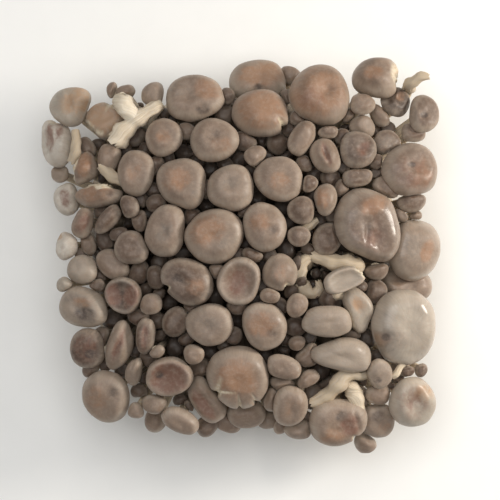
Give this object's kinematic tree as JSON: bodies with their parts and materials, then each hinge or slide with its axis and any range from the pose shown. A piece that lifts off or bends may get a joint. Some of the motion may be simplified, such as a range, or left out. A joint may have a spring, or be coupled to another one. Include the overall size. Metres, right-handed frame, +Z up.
{
  "type": "beech mushroom cluster",
  "caption": "Dense bunch of small brown-capped mushrooms with pale stems, grown from one butt and standing on its flat cut base.",
  "frame": {"origin": "middle of the flat cut base, on the surface that the bunch stands on", "axes": "+Z up through the caps; +X and +Y along the two sides of the squarish bunch"},
  "size_m": [0.1354, 0.1345, 0.0468],
  "materials": {
    "flesh": "cream mushroom stem, fibrous and matt, browner towards the cut base",
    "cap_skin": "taupe mushroom cap, smooth, slightly moist satin, with a paler margin"
  },
  "bodies": {
    "root": {"stems_and_base": "flesh", "caps_01": "cap_skin", "caps_02": "cap_skin", "caps_03": "cap_skin", "caps_04": "cap_skin", "caps_05": "cap_skin", "caps_06": "cap_skin", "caps_07": "cap_skin", "caps_08": "cap_skin", "caps_09": "cap_skin", "caps_10": "cap_skin", "caps_11": "cap_skin", "caps_12": "cap_skin", "caps_13": "cap_skin", "caps_14": "cap_skin", "caps_15": "cap_skin", "caps_16": "cap_skin", "caps_17": "cap_skin", "caps_18": "cap_skin", "caps_19": "cap_skin", "caps_20": "cap_skin", "caps_21": "cap_skin", "caps_22": "cap_skin", "caps_23": "cap_skin", "caps_24": "cap_skin", "caps_25": "cap_skin", "caps_26": "cap_skin", "caps_27": "cap_skin", "caps_28": "cap_skin", "caps_29": "cap_skin", "caps_30": "cap_skin", "caps_31": "cap_skin", "caps_32": "cap_skin", "caps_33": "cap_skin", "caps_34": "cap_skin", "caps_35": "cap_skin", "caps_36": "cap_skin", "caps_37": "cap_skin", "caps_38": "cap_skin", "caps_39": "cap_skin", "caps_40": "cap_skin", "caps_41": "cap_skin", "caps_42": "cap_skin", "caps_43": "cap_skin", "caps_44": "cap_skin", "caps_45": "cap_skin", "caps_46": "cap_skin", "caps_47": "cap_skin", "caps_48": "cap_skin", "caps_49": "cap_skin", "caps_50": "cap_skin", "caps_51": "cap_skin", "caps_52": "cap_skin", "caps_53": "cap_skin", "caps_54": "cap_skin", "caps_55": "cap_skin", "caps_56": "cap_skin", "caps_57": "cap_skin", "caps_58": "cap_skin", "caps_59": "cap_skin"}
  },
  "joints": []
}
